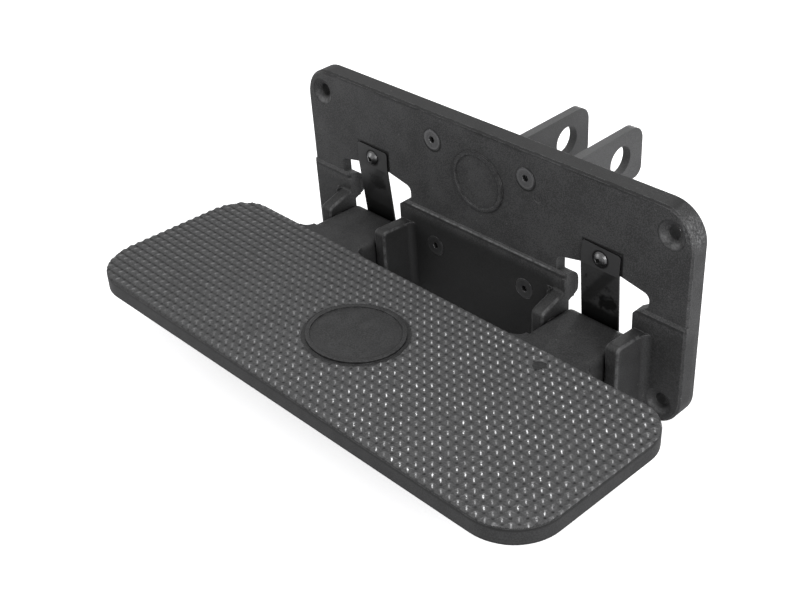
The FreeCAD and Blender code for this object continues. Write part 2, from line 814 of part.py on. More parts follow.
def hitch_bracket(side):
    t = bracket_thickness
    flange_y = plate_back + t / 2
    end = tongue_reach_past_pin
    plan = strip_outline([
        (side * flange_outer_reach, flange_y, 0),
        (side * tongue_middle, flange_y, bracket_bend_radius),
        (side * tongue_middle, end, 0)], t)
    half = flange_height / 2
    blank = prism_along_z(plan, -half, half)
    tongue_half = tongue_height / 2
    side_view = prism_along_x([
        (plate_back - beyond, -half, 0), (plate_back + flange_straight, -half, flange_end_round),
        (plate_back + flange_taper_end, -tongue_half, tongue_root_round),
        (end, -tongue_half, tongue_lower_corner), (end, tongue_half, tongue_upper_corner),
        (plate_back + flange_taper_end, tongue_half, tongue_root_round),
        (plate_back + flange_straight, half, flange_end_round), (plate_back - beyond, half, 0)], -far, far)
    low, high = sorted((side * (tongue_middle - t), side * flange_outer_reach))
    low_round = 0 if side > 0 else flange_corner
    high_round = flange_corner if side > 0 else 0
    front_view = prism_along_y([
        (low, -half, low_round), (high, -half, high_round), (high, half, high_round), (low, half, low_round)],
        -far, far)
    bracket = blank.common(side_view).common(front_view)
    x = side * tongue_outer_width / 2
    cuts = [rod(hitch_bore_radius, V(x + side * beyond, 0, 0), V(-side, 0, 0), t + 2 * beyond)]
    for _, screw_x, screw_z, _ in bracket_screw_places():
        start = V(screw_x, plate_back - beyond, screw_z)
        cuts.append(rod(screw_hole_radius, start, V(0, 1, 0), t + 2 * beyond))
    return bracket.cut(cuts)


def screw_cone(start, gap):
    # Cone of a flat head whose top lies in the face at start
    radius = screw_head_radius + gap
    depth = (radius - screw_radius) / math.tan(math.radians(screw_head_half_angle))
    return Part.makeCone(radius, screw_radius, depth, start, V(0, 1, 0))


def bracket_screw(x, z, face):
    into = V(0, 1, 0)
    start = V(x, face, z)
    shank = rod(screw_radius, start + into, into, screw_length - 1)
    socket = hexagon_prism(screw_socket_across, start - into * beyond, into, screw_socket_depth + beyond)
    return screw_cone(start, 0).fuse(shank).cut(socket)


def bracket_washer(x, z):
    start = V(x, plate_back + bracket_thickness, z)
    along = V(0, 1, 0)
    disc = rod(washer_radius, start, along, washer_thickness)
    return disc.cut(rod(screw_hole_radius, start - along, along, washer_thickness + 2))


def bracket_nut(x, z):
    # Hexagon nut with a round locking collar
    start = V(x, plate_back + bracket_thickness + washer_thickness, z)
    along = V(0, 1, 0)
    body = hexagon_prism(nut_across_flats, start, along, nut_height)
    collar = rod(nut_collar_radius, start, along, nut_height + nut_collar_height)
    hole = rod(screw_radius + thread_gap, start - along, along, nut_height + nut_collar_height + 2)
    return body.fuse(collar).cut(hole)


def build():
    parts = {"mounting_plate": mounting_plate(), "step_platform": step_platform()}
    for name, side in (("left", -1), ("right", 1)):
        parts[f"hitch_bracket_{name}"] = hitch_bracket(side)
    for place, x, z, face in bracket_screw_places():
        parts[f"bracket_screw_{place}"] = bracket_screw(x, z, face)
        parts[f"bracket_washer_{place}"] = bracket_washer(x, z)
        parts[f"bracket_nut_{place}"] = bracket_nut(x, z)
    for name, x in hinge_sides.items():
        parts[f"leaf_spring_{name}"] = leaf_spring(x, leaf_turn[name])
        parts[f"leaf_screw_{name}"] = leaf_screw(x)
        parts[f"hinge_bolt_{name}"] = hinge_bolt(x)
        parts[f"hinge_bush_{name}_a"] = hinge_bush(x, -1)
        parts[f"hinge_bush_{name}_b"] = hinge_bush(x, 1)
    return parts


os.makedirs("parts", exist_ok=True)
for node, shape in build().items():
    shape.exportStep(f"parts/{node}.step")
    print(node, len(shape.Solids), "solid", len(shape.Faces), "faces", round(shape.Volume / 1000, 2), "cm3",
          "valid" if shape.isValid() else "not valid")
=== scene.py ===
import json
import math
import random

import bmesh
import bpy
from mathutils import Matrix, Vector


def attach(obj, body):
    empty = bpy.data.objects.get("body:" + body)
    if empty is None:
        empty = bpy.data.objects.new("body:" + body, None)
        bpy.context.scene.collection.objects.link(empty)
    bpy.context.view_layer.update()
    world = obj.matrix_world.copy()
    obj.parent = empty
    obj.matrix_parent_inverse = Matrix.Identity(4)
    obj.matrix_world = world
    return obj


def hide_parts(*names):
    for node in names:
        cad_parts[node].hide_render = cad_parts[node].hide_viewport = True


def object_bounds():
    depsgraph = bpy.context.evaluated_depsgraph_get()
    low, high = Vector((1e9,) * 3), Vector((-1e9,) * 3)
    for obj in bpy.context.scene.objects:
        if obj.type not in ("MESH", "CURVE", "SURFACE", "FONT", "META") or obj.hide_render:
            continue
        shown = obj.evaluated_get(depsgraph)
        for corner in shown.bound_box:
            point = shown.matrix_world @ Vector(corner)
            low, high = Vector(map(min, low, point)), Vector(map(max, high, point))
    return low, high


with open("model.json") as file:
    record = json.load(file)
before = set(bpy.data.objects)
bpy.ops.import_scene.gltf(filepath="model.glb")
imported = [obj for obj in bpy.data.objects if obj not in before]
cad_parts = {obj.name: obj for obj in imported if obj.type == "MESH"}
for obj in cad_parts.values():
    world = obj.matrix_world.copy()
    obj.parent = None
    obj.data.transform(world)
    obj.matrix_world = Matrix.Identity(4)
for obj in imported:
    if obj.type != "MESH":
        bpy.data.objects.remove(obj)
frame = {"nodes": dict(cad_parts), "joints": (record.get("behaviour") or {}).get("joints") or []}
cadLow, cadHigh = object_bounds()
nodes = frame["nodes"]
hinge = frame["joints"][0]
mm = 0.001


# Node helpers

def newGroup(name, inputs, outputs):
    group = bpy.data.node_groups.new(name, "ShaderNodeTree")
    for label, value in inputs.items():
        socket = group.interface.new_socket(name=label, in_out="INPUT", socket_type="NodeSocketFloat")
        socket.default_value = value
    for label, kind in outputs.items():
        group.interface.new_socket(name=label, in_out="OUTPUT", socket_type="NodeSocket" + kind)
    return group, group.nodes.new("NodeGroupInput"), group.nodes.new("NodeGroupOutput")


def addNode(tree, kind, settings=None, **inputs):
    # An input is given by its name, or as i and its number, and is a value or another node's socket
    node = tree.nodes.new(kind)
    for key, value in (settings or {}).items():
        setattr(node, key, value)
    for key, value in inputs.items():
        socket = node.inputs[int(key[1:])] if key[0] == "i" and key[1:].isdigit() else node.inputs[key]
        if isinstance(value, bpy.types.NodeSocket):
            tree.links.new(value, socket)
        else:
            socket.default_value = value
    return node


def coordinate(tree, kind="Object"):
    return addNode(tree, "ShaderNodeTexCoord").outputs[kind]


def surfaceNormal(tree):
    return addNode(tree, "ShaderNodeNewGeometry").outputs["Normal"]


def axes(tree, vector):
    return addNode(tree, "ShaderNodeSeparateXYZ", Vector=vector).outputs


def objectNoise(tree, scale, detail=4.0, roughness=0.55, distortion=0.0):
    return addNode(tree, "ShaderNodeTexNoise", Vector=coordinate(tree), Scale=scale, Detail=detail,
                   Roughness=roughness, Distortion=distortion).outputs["Fac"]


def ranged(tree, value, low, high, toLow=0.0, toHigh=1.0):
    # Smoothly from toLow to toHigh while the value goes from low to high
    return addNode(tree, "ShaderNodeMapRange", {"interpolation_type": "SMOOTHSTEP"}, i0=value, i1=low,
                   i2=high, i3=toLow, i4=toHigh).outputs[0]


def maths(tree, operation, first, *others):
    # On one value alone, or with each of the others in turn
    result = first
    for other in others or (0.0,):
        result = addNode(tree, "ShaderNodeMath", {"operation": operation}, i0=result, i1=other).outputs[0]
    return result


def vectorMaths(tree, operation, *vectors):
    inputs = {f"i{number}": vector for number, vector in enumerate(vectors)}
    return addNode(tree, "ShaderNodeVectorMath", {"operation": operation}, **inputs).outputs["Value"]


def apartFrom(tree, value, middle):
    return maths(tree, "ABSOLUTE", maths(tree, "SUBTRACT", value, middle))


def band(tree, value, middle, core, reach, strength=1.0):
    # Full within the core of the middle, and gone at the reach
    return ranged(tree, apartFrom(tree, value, middle), core, reach, strength, 0.0)


def wrapped(tree, value, half):
    return addNode(tree, "ShaderNodeMath", {"operation": "WRAP"}, i0=value, i1=half, i2=-half).outputs[0]


def flatDistance(tree, across, up):
    return vectorMaths(tree, "LENGTH", addNode(tree, "ShaderNodeCombineXYZ", X=across, Y=up).outputs[0])


def ovalDistance(tree, across, up, place, half):
    # 1 on the outline of an oval, whose half sizes are in millimetres
    return flatDistance(tree, maths(tree, "DIVIDE", maths(tree, "SUBTRACT", across, place[0]), half[0] * mm),
                        maths(tree, "DIVIDE", maths(tree, "SUBTRACT", up, place[1]), half[1] * mm))


def mixColours(tree, factor, a, b):
    node = tree.nodes.new("ShaderNodeMix")
    node.data_type = "RGBA"
    for index, value in ((0, factor), (6, a), (7, b)):
        if isinstance(value, bpy.types.NodeSocket):
            tree.links.new(value, node.inputs[index])
        else:
            node.inputs[index].default_value = value
    return node.outputs[2]


def grey(value):
    return (value, value, value * 1.015, 1.0)


# Tread, in millimetres from its pivot and before its tilt

tread = {
    "tilt": 2.3, "above": 8.0, "thickness": 10.0, "front": -155.5, "rear": -28.5, "halfWidth": 181.0,
    "frontCorner": 30.5, "rearCorner": 25.0, "margin": 0.8, "skirt": 3.3, "skirtFrom": 2.0,
    "pitch": 5.72, "height": 1.5, "steps": 8, "soft": 0.30, "saddle": 0.28, "sink": 0.25, "uneven": 0.07,
    "roundFrom": 0.8, "roundLeft": 0.93, "mostStuds": 40, "seed": 7,
    "ovalForward": 90.3, "ovalHalfWidth": 30.5, "ovalHalfLength": 28.5, "ovalBand": 2.6, "ovalKept": 0.5,
    "markX": 96.2, "markForward": 41.4, "markRadius": 4.3, "slack": 0.05, "trim": 0.02,
}
tread["rows"] = math.ceil((tread["rear"] - tread["front"]) / tread["pitch"]) + 1
tread["middle"] = (tread["front"] + tread["rear"]) / 2
tread["bottom"] = tread["above"] - tread["thickness"] - tread["skirt"]

toSpace = (Matrix.Translation(Vector(hinge["pos_m"]))
           @ Matrix.Rotation(math.radians(tread["tilt"]), 4, Vector((-1.0, 0.0, 0.0))))
toLevel = toSpace.inverted()


# Effects built as node groups

# The fine noise's shares, and where an effect starts and is full
effectValues = {"fineShare": {"Height": 0.35, "Mottle": 0.72}, "edgeTurn": (0.005, 0.11),
                "edgeBreaks": (0.36, 0.62), "closedIn": (0.25, 0.95), "dust": (0.42, 0.72),
                "speckScale": 170.0, "speckSize": (0.05, 0.12), "speckRarity": (0.80, 0.84)}


def makeGrainGroup():
    # Fine pimples of a sand-cast, powder-coated face, with slow unevenness under them
    group, start, end = newGroup("castGrain", {"Fineness": 900.0, "Unevenness": 55.0},
                                 {"Height": "Float", "Mottle": "Float"})
    place = coordinate(group)
    fine = addNode(group, "ShaderNodeTexNoise", Vector=place, Scale=start.outputs["Fineness"], Detail=3.0)
    broad = addNode(group, "ShaderNodeTexNoise", Vector=place, Scale=start.outputs["Unevenness"], Detail=5.0)
    for label, share in effectValues["fineShare"].items():
        total = maths(group, "ADD", maths(group, "MULTIPLY", fine.outputs["Fac"], share),
                      maths(group, "MULTIPLY", broad.outputs["Fac"], 1 - share))
        group.links.new(total, end.inputs[label])
    return group


def makeEdgeGroup():
    # Rounded edges in the shading, and a mask where handling has polished them in places
    group, start, end = newGroup("edgeWear", {"Radius": 0.0012, "Amount": 1.0},
                                 {"Mask": "Float", "Normal": "Vector"})
    bevel = addNode(group, "ShaderNodeBevel", {"samples": 4}, Radius=start.outputs["Radius"]).outputs[0]
    likeness = vectorMaths(group, "DOT_PRODUCT", bevel, surfaceNormal(group))
    edge = ranged(group, maths(group, "SUBTRACT", 1.0, likeness), *effectValues["edgeTurn"])
    broken = ranged(group, objectNoise(group, scale=260.0, detail=5.0, roughness=0.65),
                    *effectValues["edgeBreaks"])
    group.links.new(maths(group, "MULTIPLY", edge, broken, start.outputs["Amount"]), end.inputs["Mask"])
    group.links.new(bevel, end.inputs["Normal"])
    return group


def makeRecessShadeGroup():
    # Painted shade, darker where neighbouring faces close a place in
    group, start, end = newGroup("recessShade", {"Reach": 0.006, "Amount": 1.0}, {"Mask": "Float"})
    around = addNode(group, "ShaderNodeAmbientOcclusion", {"samples": 6}, Distance=start.outputs["Reach"])
    closed = ranged(group, around.outputs["AO"], *effectValues["closedIn"], 1.0, 0.0)
    group.links.new(maths(group, "MULTIPLY", closed, start.outputs["Amount"]), end.inputs["Mask"])
    return group


def makeDirtGroup():
    # Thin dust in patches and a scatter of small pale specks
    group, start, end = newGroup("handledDust", {"Patches": 14.0, "Specks": 0.0},
                                 {"Dust": "Float", "Speck": "Float"})
    place = coordinate(group)
    patch = addNode(group, "ShaderNodeTexNoise", Vector=place, Scale=start.outputs["Patches"], Detail=6.0,
                    Roughness=0.62)
    group.links.new(ranged(group, patch.outputs["Fac"], *effectValues["dust"]), end.inputs["Dust"])
    cells = addNode(group, "ShaderNodeTexVoronoi", Vector=place, Scale=effectValues["speckScale"])
    near = ranged(group, cells.outputs["Distance"], *effectValues["speckSize"], 1.0, 0.0)
    rare = ranged(group, cells.outputs["Color"], *effectValues["speckRarity"])
    group.links.new(maths(group, "MULTIPLY", near, rare, start.outputs["Specks"]), end.inputs["Speck"])
    return group


# Places and widths in millimetres, pairs where a mark starts and is full, and strengths in tones
plateMarks = {
    "facing": (-0.30, -0.10), "edgeFrom": (0.20, 0.40), "edgeTo": (0.80, 0.96), "lineBreaks": (0.35, 0.60),
    "highlightBreaks": (0.30, 0.66), "scuffBreaks": (0.44, 0.66), "edgeBreaks": (0.34, 0.64),
    "core": 0.2, "front": -98.5, "frontFade": 0.5,
    "wander": 6.0, "edgeLine": 57.0, "edgeLineWidth": 0.9, "edgeFade": 0.8,
    "underLedge": -16.4, "underLedgeWidth": 1.5, "lowFade": 8.0, "lowMiddle": 64.0,
    "ledgeLine": -15.1, "ledgeLineWidth": 0.8, "ledgeHalf": 58.0, "ledgeFade": 1.0,
    "screwPlace": 37.5, "ringRadius": 7.1, "ringWidth": 1.0, "ringShift": 0.35,
    "dishSide": 138.2, "dishLow": -70.6, "dishSpacing": 110.4, "dishRadius": 8.6, "dishRimWidth": 0.7,
    "dishHighlightRadius": 6.88, "dishHighlightWidth": 2.2, "dishHighlightLow": -5.0, "dishHighlightHigh": 1.0,
    "tabMiddle": 1.4, "tabShift": 0.35, "tabHalfWidth": 13.7, "tabHalfHeight": 13.5, "tabLine": 1.3,
    "scuffPlace": (151.0, -101.0, 45.0), "scuffCore": 6.0, "scuffReach": 13.0,
    "earHighlightFront": -111.0, "earHighlightFade": 2.0,
    "ovalPlace": (0.0, 22.0), "ovalHalf": (20.0, 19.5), "ovalLine": 0.9, "ovalCore": 0.2,
    "tones": {"topRim": 0.78, "dishRim": 0.6, "groove": 0.75, "lowMiddle": 0.86, "lowSides": 0.40,
              "ledge": 0.62, "dishHighlight": 0.55, "scuff": 0.75, "earEdge": 0.36},
}


def makePlateMarksGroup():
    group, start, end = newGroup("plateMarks", {"Lines": 1.0, "Scuff": 1.0, "Rings": 1.0},
                                 {"Dark": "Float", "RubbedAndHighlight": "Float"})
    size = {name: value * mm for name, value in plateMarks.items() if isinstance(value, float)}
    tones = plateMarks["tones"]
    place = coordinate(group)
    x, y, z = axes(group, place)
    normal = axes(group, surfaceNormal(group))
    sideways = maths(group, "ABSOLUTE", x)
    facingFront = ranged(group, normal[1], *plateMarks["facing"], 1.0, 0.0)
    inFront = ranged(group, y, size["front"], size["front"] + size["frontFade"], 1.0, 0.0)

    def brokenUp(breaks, **noise):
        return ranged(group, objectNoise(group, **noise), *plateMarks[breaks])

    # A wavy dark line a little below the top edge, and painted shade on the top rim above it
    wave = maths(group, "MULTIPLY", objectNoise(group, scale=22.0, detail=6.0, roughness=0.6), size["wander"])
    height = maths(group, "ADD", z, wave)
    edgeLine = maths(group, "MULTIPLY",
                     band(group, height, size["edgeLine"], size["core"], size["edgeLineWidth"]),
                     brokenUp("lineBreaks", scale=50.0))
    topRim = ranged(group, height, size["edgeLine"], size["edgeLine"] + size["edgeFade"], 0.0,
                    tones["topRim"])

    # Painted shadow under the ledge and on one side of each flat screw head
    under = band(group, z, size["underLedge"], size["core"], size["underLedgeWidth"])
    lines = maths(group, "MULTIPLY", maths(group, "MAXIMUM", edgeLine, under), start.outputs["Lines"])
    across, up = (maths(group, "SUBTRACT", axis, maths(group, "MULTIPLY", maths(group, "SIGN", axis),
                                                       size["screwPlace"])) for axis in (x, z))
    fromScrew = flatDistance(group, maths(group, "SUBTRACT", across, size["ringShift"]),
                             maths(group, "ADD", up, size["ringShift"]))
    ring = maths(group, "MULTIPLY",
                 band(group, fromScrew, size["ringRadius"], size["core"], size["ringWidth"]),
                 start.outputs["Rings"])

    # Rims of the dished corner holes, with painted highlights in their lower halves
    upDish = wrapped(group, maths(group, "SUBTRACT", z, size["dishLow"]), size["dishSpacing"] / 2)
    fromDish = flatDistance(group, maths(group, "SUBTRACT", sideways, size["dishSide"]), upDish)
    dishRim = maths(group, "MULTIPLY",
                    band(group, fromDish, size["dishRadius"], size["core"], size["dishRimWidth"]),
                    tones["dishRim"])
    inDish = maths(group, "MULTIPLY",
                   band(group, fromDish, size["dishHighlightRadius"], size["core"], size["dishHighlightWidth"]),
                   ranged(group, upDish, size["dishHighlightLow"], size["dishHighlightHigh"], 1.0, 0.0), tones["dishHighlight"])

    # Painted shade in a groove outside the bead of the bare oval
    half = plateMarks["ovalHalf"]
    oval = ovalDistance(group, x, z, [value * mm for value in plateMarks["ovalPlace"]], half)
    groove = band(group, oval, 1.0, plateMarks["ovalCore"] / half[0], plateMarks["ovalLine"] / half[0],
                  tones["groove"])

    # A painted shadow line round the tab of each leaf spring
    outX = maths(group, "SUBTRACT", apartFrom(group, leafPlace(group, x), size["tabShift"]),
                 size["tabHalfWidth"])
    outZ = maths(group, "SUBTRACT", apartFrom(group, z, size["tabMiddle"]), size["tabHalfHeight"])
    tabLine = band(group, maths(group, "MAXIMUM", outX, outZ), 0.0, size["core"], size["tabLine"])

    # The lower front is darker, and darkest between the hinges
    shade = maths(group, "MULTIPLY",
                  ranged(group, sideways, size["lowMiddle"] - size["lowFade"], size["lowMiddle"],
                         tones["lowMiddle"], tones["lowSides"]),
                  ranged(group, z, size["underLedge"] - size["lowFade"], size["underLedge"], 1.0, 0.0),
                  inFront)
    flatMarks = maths(group, "MULTIPLY", maths(group, "MAXIMUM", lines, ring, dishRim, groove, tabLine),
                      facingFront)
    group.links.new(maths(group, "MAXIMUM", flatMarks, topRim, shade), end.inputs["Dark"])

    # Painted highlights on the ledge, in the dishes and on the ears' edges, and the coat rubbed pale at the
    # scuffed corner
    onLedge = maths(group, "MULTIPLY",
                    band(group, z, size["ledgeLine"], size["core"], size["ledgeLineWidth"]),
                    ranged(group, sideways, size["ledgeHalf"] - size["ledgeFade"], size["ledgeHalf"],
                           tones["ledge"], 0.0))
    soft = maths(group, "MULTIPLY", maths(group, "MAXIMUM", inDish, onLedge), facingFront,
                 brokenUp("highlightBreaks", scale=260.0, detail=4.0, roughness=0.6))
    fromCorner = vectorMaths(group, "DISTANCE", place, Vector(plateMarks["scuffPlace"]) * mm)
    scuffed = maths(group, "MULTIPLY",
                    ranged(group, fromCorner, size["scuffCore"], size["scuffReach"], 1.0, 0.0),
                    tones["scuff"], brokenUp("scuffBreaks", scale=700.0, detail=5.0, roughness=0.7))
    aside = maths(group, "ABSOLUTE", normal[0])
    earEdge = maths(group, "MULTIPLY", ranged(group, aside, *plateMarks["edgeFrom"]),
                    ranged(group, aside, *plateMarks["edgeTo"], 1.0, 0.0),
                    ranged(group, y, size["earHighlightFront"] - size["earHighlightFade"], size["earHighlightFront"],
                           tones["earEdge"], 0.0),
                    brokenUp("edgeBreaks", scale=220.0, detail=5.0, roughness=0.65))
    rubbedAndHighlight = maths(group, "MULTIPLY", maths(group, "MAXIMUM", scuffed, soft, earEdge), start.outputs["Scuff"])
    group.links.new(rubbedAndHighlight, end.inputs["RubbedAndHighlight"])
    return group


# Shares of a stud's pitch, places in millimetres, and strengths from 0 to 1
studWearHighlightAndShade = {
    "ridgeWidth": 0.40, "least": 0.05, "even": 0.06, "wander": 0.55, "ridgeFrom": (0.18, 0.50),
    "tipFrom": 0.80, "turnedAway": (-0.06, 0.24), "turnedAwayTone": 0.10,
    "gleamAlong": (0.5, 0.87), "gleamHalf": (0.30, 0.17), "gleamFade": (0.25, 1.10), "gleamTone": 0.50,
    "slant": -0.25, "cloud": 60.0, "spread": (-60.0, 170.0), "ridgeChance": 0.45, "gleamChance": 0.5,
    "hollowFade": (0.12, 0.46), "rowFade": (0.04, 0.42), "rowTone": 0.62, "rowSpread": (-80.0, 100.0),
    "rowLeast": 0.1,
}


def makeStudPatternGroup():
    # The studs' own layout over the tread, which repeats acrossStud below: tips rubbed bright and
    # painted highlights on the ridges towards the front, more so towards the right, and painted shade in the
    # hollows
    group, start, end = newGroup("studPattern", {"Ridge Width": 0.4, "Least": 0.2},
                                 {"RubbedAndHighlight": "Float", "Low": "Float"})
    pitch = tread["pitch"] * mm
    firstRow = (toLevel[1].w / mm - tread["middle"]) / tread["pitch"] + 0.5 * (tread["rows"] % 2)
    place = coordinate(group)
    across = axes(group, place)[0]
    rearward = vectorMaths(group, "DOT_PRODUCT", place, toLevel[1].xyz)
    column = maths(group, "DIVIDE", across, pitch)
    row = maths(group, "ADD", maths(group, "DIVIDE", rearward, pitch), firstRow)
    inColumn, inRow = (maths(group, "FRACT", value) for value in (column, row))
    upColumn, upRow = (maths(group, "MULTIPLY", maths(group, "PINGPONG", value, 0.5), 2.0)
                       for value in (column, row))
    cell = addNode(group, "ShaderNodeCombineXYZ", X=maths(group, "FLOOR", column),
                   Y=maths(group, "FLOOR", row))
    chance = addNode(group, "ShaderNodeTexWhiteNoise", {"noise_dimensions": "3D"},
                     Vector=cell.outputs[0]).outputs["Value"]

    # How strongly each place of the tread is rubbed and given painted highlights
    spot = maths(group, "ADD", maths(group, "MULTIPLY", rearward, studWearHighlightAndShade["slant"]), across,
                 maths(group, "MULTIPLY", objectNoise(group, scale=18.0, detail=3.0), studWearHighlightAndShade["cloud"] * mm))
    low, high = (value * mm for value in studWearHighlightAndShade["spread"])
    spread = ranged(group, spot, low, high, start.outputs["Least"], 1.0)

    # Painted highlights on the ridges towards the front, broken at the edges, and the rubbed tips
    wander = maths(group, "MULTIPLY",
                   maths(group, "SUBTRACT", objectNoise(group, scale=520.0, detail=2.0), 0.5),
                   studWearHighlightAndShade["wander"])
    fromRidge = maths(group, "ABSOLUTE",
                      maths(group, "ADD", maths(group, "SUBTRACT", upColumn, upRow), wander))
    lowest = maths(group, "MINIMUM", upColumn, upRow)
    ridge = maths(group, "MULTIPLY", ranged(group, fromRidge, 0.0, start.outputs["Ridge Width"], 1.0, 0.0),
                  ranged(group, lowest, *studWearHighlightAndShade["ridgeFrom"]),
                  ranged(group, maths(group, "SUBTRACT", inColumn, inRow), *studWearHighlightAndShade["turnedAway"],
                         studWearHighlightAndShade["turnedAwayTone"], 1.0))
    tip = ranged(group, lowest, studWearHighlightAndShade["tipFrom"], 1.0)
    wornAndHighlight = maths(group, "MULTIPLY", maths(group, "MAXIMUM", ridge, tip), spread,
                 ranged(group, chance, 0.0, 1.0, studWearHighlightAndShade["ridgeChance"], 1.0))

    # A dull gleam on every stud, longer one way than the other
    fromColumn, fromRow = (maths(group, "SUBTRACT", value, 0.5) for value in (inColumn, inRow))
    (first, second), (halfLength, halfWidth) = studWearHighlightAndShade["gleamAlong"], studWearHighlightAndShade["gleamHalf"]
    along = maths(group, "ADD", maths(group, "MULTIPLY", fromColumn, first / halfLength),
                  maths(group, "MULTIPLY", fromRow, second / halfLength))
    over = maths(group, "SUBTRACT", maths(group, "MULTIPLY", fromColumn, second / halfWidth),
                 maths(group, "MULTIPLY", fromRow, first / halfWidth))
    gleam = maths(group, "MULTIPLY",
                  ranged(group, flatDistance(group, along, over), *studWearHighlightAndShade["gleamFade"], 1.0, 0.0),
                  studWearHighlightAndShade["gleamTone"], ranged(group, chance, 0.0, 1.0, studWearHighlightAndShade["gleamChance"], 1.0))
    rubbedAndHighlight = maths(group, "MAXIMUM", wornAndHighlight, gleam, maths(group, "MULTIPLY", spread, studWearHighlightAndShade["even"]))
    group.links.new(rubbedAndHighlight, end.inputs["RubbedAndHighlight"])

    # Painted shade in the hollows between four studs, and between the rows where the highlights are weakest
    low, high = (value * mm for value in studWearHighlightAndShade["rowSpread"])
    rows = maths(group, "MULTIPLY", ranged(group, upRow, *studWearHighlightAndShade["rowFade"], studWearHighlightAndShade["rowTone"], 0.0),
                 ranged(group, spot, low, high, 1.0, studWearHighlightAndShade["rowLeast"]))
    hollow = ranged(group, flatDistance(group, upColumn, upRow), *studWearHighlightAndShade["hollowFade"], 1.0, 0.0)
    group.links.new(maths(group, "MAXIMUM", hollow, rows), end.inputs["Low"])
    return group


# Marks that one finish alone has

# Flat screw heads, in millimetres, and strengths from 0 to 1
headValues = {"place": 37.5, "rim": 6.75, "rimWidth": 0.6, "recess": 1.7, "recessFade": 0.7, "grimeAndShade": 0.9,
              "chamfer": 5.7, "ringCore": 0.2, "ringReach": 0.9, "ring": 0.3, "halfFade": 10.0, "lower": 0.66}


def headMarks(tree, colour, values):
    # Painted shade in the rim's gap, at the hexagon and on lower heads; a painted highlight ring inside the
    # rim
    x, _, z = axes(tree, coordinate(tree))
    size = {name: value * mm for name, value in headValues.items()}
    away = flatDistance(tree, *(maths(tree, "SUBTRACT", maths(tree, "ABSOLUTE", axis), size["place"])
                                for axis in (x, z)))
    rim = ranged(tree, away, size["rim"] - size["rimWidth"], size["rim"], 0.0, headValues["grimeAndShade"])
    inner = ranged(tree, away, size["recess"], size["recess"] + size["recessFade"], headValues["grimeAndShade"], 0.0)
    ring = band(tree, away, size["chamfer"], size["ringCore"], size["ringReach"], headValues["ring"])
    lower = ranged(tree, z, -size["halfFade"], size["halfFade"], headValues["lower"], 0.0)
    colour = mixColours(tree, ring, colour, grey(values["wornAndHighlight"]))
    return mixColours(tree, maths(tree, "MAXIMUM", rim, inner, lower), colour, grey(values["grimeAndShade"]))


# Leaf springs, in millimetres, and strengths from 0 to 1
leafValues = {
    "side": 93.6, "apart": 186.0, "crease": -0.2, "creaseFade": 0.4, "tabTone": 0.045, "tabDust": 0.8,
    "smearHeight": 10.0, "smearSlope": -0.75, "smearCore": 2.5, "smearReach": 5.5, "smear": 0.6,
    "patch": (1.5, -22.0), "patchReach": (10.0, 6.5), "patchFade": (0.3, 1.3), "patchLift": 0.20,
    "leftPatchRise": 10.0, "filmFade": (0.55, 0.69), "bottom": -24.0, "bottomFade": 7.0, "bottomWave": 14.0,
    "leftFade": 50.0, "leftShade": (-28.0, -6.0), "leftShadeTone": 0.65,
    "screw": 6.8, "ringRadius": 4.9, "ringCore": 0.4, "ringReach": 1.3, "ring": 0.9, "cutFacing": (0.5, 0.8),
}


def leafPlace(tree, x):
    # Sideways from the middle of the nearer leaf spring
    return wrapped(tree, maths(tree, "SUBTRACT", x, leafValues["side"] * mm), leafValues["apart"] / 2 * mm)


